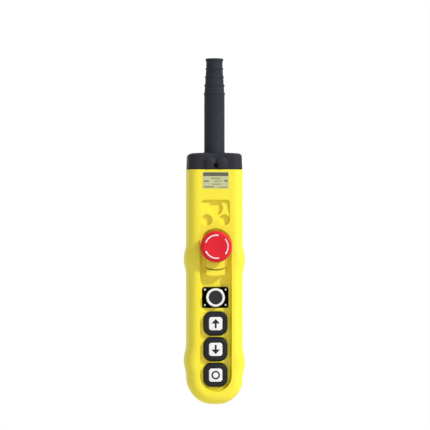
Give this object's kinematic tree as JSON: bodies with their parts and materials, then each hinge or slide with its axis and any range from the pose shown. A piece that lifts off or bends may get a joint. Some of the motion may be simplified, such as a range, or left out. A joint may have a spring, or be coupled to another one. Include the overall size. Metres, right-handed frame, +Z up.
{
  "type": "hoist pendant switch",
  "caption": "Hand-held hoist pendant: yellow two-shell housing, black cap and beaded cable boot, red mushroom stop, start button in a bright ring, square rubber push buttons.",
  "frame": {"origin": "centre of the cable boot's mouth, at the top of the part", "axes": "+Z up along the cable and the housing's length, the buttons face -Y, +X to the right of someone who faces the buttons"},
  "size_m": [0.0766, 0.0739, 0.4418],
  "materials": {
    "housing_yellow": "safety yellow ABS, fine satin grain",
    "cap_black": "black moulded plastic, satin",
    "rubber_black": "black rubber",
    "plate_blank": "thin bare sheet, pale satin",
    "stop_red": "red moulded plastic, glossy",
    "mark_white": "white inlay",
    "plate_black": "black enamelled sheet",
    "bezel_chrome": "polished chrome",
    "button_black": "black rubber, satin",
    "legend_white": "white plastic tile",
    "start_dark": "black plastic, glossy",
    "contact_plastic": "grey-black moulded plastic",
    "rail_steel": "zinc plated sheet",
    "screw_steel": "nickel plated steel",
    "screw_black": "blackened steel",
    "brass": "bare brass",
    "spring_steel": "spring wire"
  },
  "bodies": {
    "housing": {"front_shell": "housing_yellow", "rear_shell": "housing_yellow", "shell_gasket": "rubber_black", "screw_inserts": "brass", "housing_screws": "screw_steel", "rating_plate": "plate_blank", "top_cap": "cap_black", "cap_gasket": "rubber_black", "cap_screws": "screw_black", "cable_boot": "rubber_black", "boot_retainer": "rail_steel", "retainer_screws": "screw_steel", "clamp_base": "cap_black", "clamp_bar": "rail_steel", "clamp_screws": "screw_steel", "estop_carrier": "housing_yellow", "estop_seal": "rubber_black", "estop_sleeve": "contact_plastic", "estop_nut": "contact_plastic", "adapter_plate": "plate_black", "adapter_gasket": "rubber_black", "adapter_screws": "screw_steel", "bezel_ring": "bezel_chrome", "start_sleeve": "contact_plastic", "start_nut": "contact_plastic", "button_seals": "rubber_black", "terminal_plates": "brass", "terminal_screws": "screw_steel", "contact_rail": "rail_steel", "rail_screws": "screw_steel", "forward_contact_block": "contact_plastic", "forward_spring": "spring_steel", "reverse_contact_block": "contact_plastic", "reverse_spring": "spring_steel", "stop_contact_block": "contact_plastic", "stop_spring": "spring_steel", "estop_contact_block": "contact_plastic", "estop_spring": "spring_steel", "start_contact_block": "contact_plastic", "start_spring": "spring_steel"},
    "estop_plunger": {"estop_stem": "contact_plastic", "estop_contact_bridge": "brass"},
    "estop_knob": {"estop_head": "stop_red", "estop_marks": "mark_white"},
    "start_push": {"start_button": "start_dark", "start_plunger": "contact_plastic", "start_contact_bridge": "brass"},
    "forward_push": {"forward_button": "button_black", "forward_legend": "legend_white", "forward_plunger": "contact_plastic", "forward_contact_bridge": "brass"},
    "reverse_push": {"reverse_button": "button_black", "reverse_legend": "legend_white", "reverse_plunger": "contact_plastic", "reverse_contact_bridge": "brass"},
    "stop_push": {"stop_button": "button_black", "stop_legend": "legend_white", "stop_plunger": "contact_plastic", "stop_contact_bridge": "brass"}
  },
  "joints": [
    {"name": "estop_press", "type": "slide", "parent": "housing", "child": "estop_plunger", "axis": [0, 1, 0], "range_m": [0, 0.004], "deforming": ["estop_spring"]},
    {"name": "estop_twist", "type": "hinge", "parent": "estop_plunger", "child": "estop_knob", "pos_m": [0, -0.03, -0.2404], "axis": [0, 1, 0], "range_deg": [0, 35], "stiffness_Nm_per_rad": 0.05, "springref_deg": -5.73},
    {"name": "start_press", "type": "slide", "parent": "housing", "child": "start_push", "axis": [0, 1, 0], "range_m": [0, 0.0025], "stiffness_N_per_m": 1200, "springref_m": -0.001, "deforming": ["start_spring"]},
    {"name": "forward_press", "type": "slide", "parent": "housing", "child": "forward_push", "axis": [0, 1, 0], "range_m": [0, 0.004], "stiffness_N_per_m": 1000, "springref_m": -0.001, "deforming": ["forward_spring"]},
    {"name": "reverse_press", "type": "slide", "parent": "housing", "child": "reverse_push", "axis": [0, 1, 0], "range_m": [0, 0.004], "stiffness_N_per_m": 1000, "springref_m": -0.001, "deforming": ["reverse_spring"]},
    {"name": "stop_press", "type": "slide", "parent": "housing", "child": "stop_push", "axis": [0, 1, 0], "range_m": [0, 0.004], "stiffness_N_per_m": 1000, "springref_m": -0.001, "deforming": ["stop_spring"]}
  ]
}
